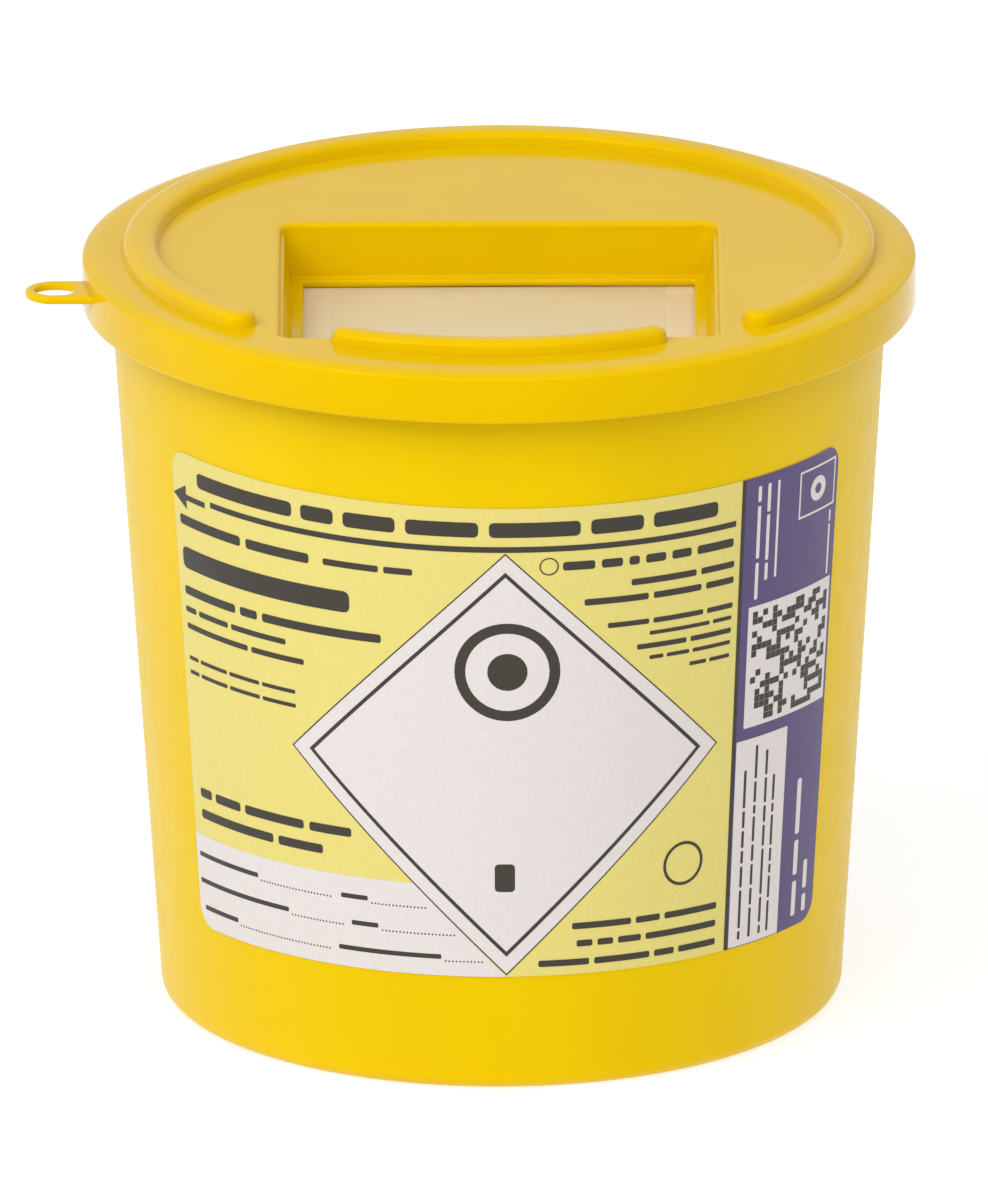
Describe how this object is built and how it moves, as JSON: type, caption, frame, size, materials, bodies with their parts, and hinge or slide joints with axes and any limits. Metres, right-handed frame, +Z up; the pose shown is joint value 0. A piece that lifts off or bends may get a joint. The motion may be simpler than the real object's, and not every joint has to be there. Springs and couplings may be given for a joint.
{
  "type": "sharps container",
  "caption": "Round tapered waste tub with an overhanging press-on lid, raised stacking ridge, rectangular mouth, sliding door and wrapped front label.",
  "frame": {"origin": "centre of the tub's underside, on the tub's axis", "axes": "+Z up along the tub's axis, -Y towards the front where the label is, +X to the viewer's right"},
  "size_m": [0.1985, 0.186, 0.1755],
  "materials": {
    "tub": "slightly translucent moulded polypropylene, satin",
    "lid": "opaque moulded polypropylene, glossy",
    "door": "translucent natural polypropylene, satin",
    "label": "printed film, semi-gloss"
  },
  "bodies": {
    "tub": {"tub": "tub", "front_label": "label"},
    "lid": {"lid": "lid"},
    "door": {"sliding_door": "door"}
  },
  "joints": [
    {"name": "lid_lift", "type": "slide", "parent": "tub", "child": "lid", "axis": [0, 0, 1], "range_m": [0, 0.08]},
    {"name": "door_slide", "type": "slide", "parent": "lid", "child": "door", "axis": [0, 1, 0], "range_m": [-0.004, 0.05]}
  ]
}
